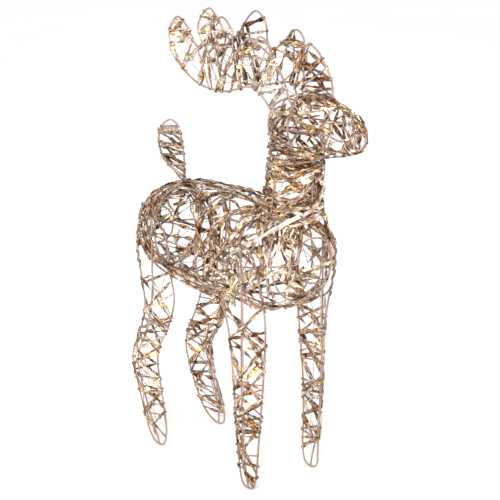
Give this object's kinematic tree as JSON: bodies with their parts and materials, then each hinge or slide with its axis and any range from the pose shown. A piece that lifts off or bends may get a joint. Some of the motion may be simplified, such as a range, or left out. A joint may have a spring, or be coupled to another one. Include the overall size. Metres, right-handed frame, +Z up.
{
  "type": "light-up yard reindeer",
  "caption": "standing wire-frame deer wound with flat woven-look ribbon, antlers swept back, with a warm white lamp string wound through body, legs and antlers",
  "frame": {"origin": "centre of the bounding box at ground level, where the feet stand", "axes": "+Z up; the reindeer faces -Y, its left side is +X"},
  "size_m": [0.1712, 0.503, 0.7418],
  "materials": {
    "frame_paint": "satin rose-champagne paint on round steel wire",
    "ribbon": "flat metallic champagne-gold ribbon with lengthwise strands",
    "clear_cable": "clear flexible insulation over fine conductors",
    "lamp_resin": "clear moulded lamp, lit warm white",
    "clear_tie": "translucent tie",
    "socket_plastic": "smooth moulded plastic"
  },
  "bodies": {
    "root": {"antler_left_frame": "frame_paint", "antler_left_wrap": "ribbon", "antler_right_frame": "frame_paint", "antler_right_wrap": "ribbon", "belly_wrap": "ribbon", "chest_wrap": "ribbon", "front_leg_left_cable_tie": "clear_tie", "front_leg_left_frame": "frame_paint", "front_leg_left_torso_tie": "clear_tie", "front_leg_left_wrap": "ribbon", "front_leg_right_cable_tie": "clear_tie", "front_leg_right_frame": "frame_paint", "front_leg_right_torso_tie": "clear_tie", "front_leg_right_wrap": "ribbon", "head_frame": "frame_paint", "hip_wrap": "ribbon", "lamp_01": "lamp_resin", "lamp_02": "lamp_resin", "lamp_03": "lamp_resin", "lamp_04": "lamp_resin", "lamp_05": "lamp_resin", "lamp_06": "lamp_resin", "lamp_07": "lamp_resin", "lamp_08": "lamp_resin", "lamp_09": "lamp_resin", "lamp_10": "lamp_resin", "lamp_11": "lamp_resin", "lamp_12": "lamp_resin", "lamp_13": "lamp_resin", "lamp_14": "lamp_resin", "lamp_15": "lamp_resin", "lamp_16": "lamp_resin", "lamp_17": "lamp_resin", "lamp_18": "lamp_resin", "lamp_19": "lamp_resin", "lamp_20": "lamp_resin", "lamp_21": "lamp_resin", "lamp_22": "lamp_resin", "lamp_string_cable": "clear_cable", "lead_socket": "socket_plastic", "muzzle_wrap": "ribbon", "neck_frame": "frame_paint", "neck_wrap": "ribbon", "rear_leg_left_cable_tie": "clear_tie", "rear_leg_left_frame": "frame_paint", "rear_leg_left_torso_tie": "clear_tie", "rear_leg_left_wrap": "ribbon", "rear_leg_right_cable_tie": "clear_tie", "rear_leg_right_frame": "frame_paint", "rear_leg_right_torso_tie": "clear_tie", "rear_leg_right_wrap": "ribbon", "rump_wrap": "ribbon", "shoulder_wrap": "ribbon", "skull_wrap": "ribbon", "spine_tie_1": "clear_tie", "spine_tie_2": "clear_tie", "tail_frame": "frame_paint", "tail_wrap": "ribbon", "torso_frame": "frame_paint"}
  },
  "joints": []
}
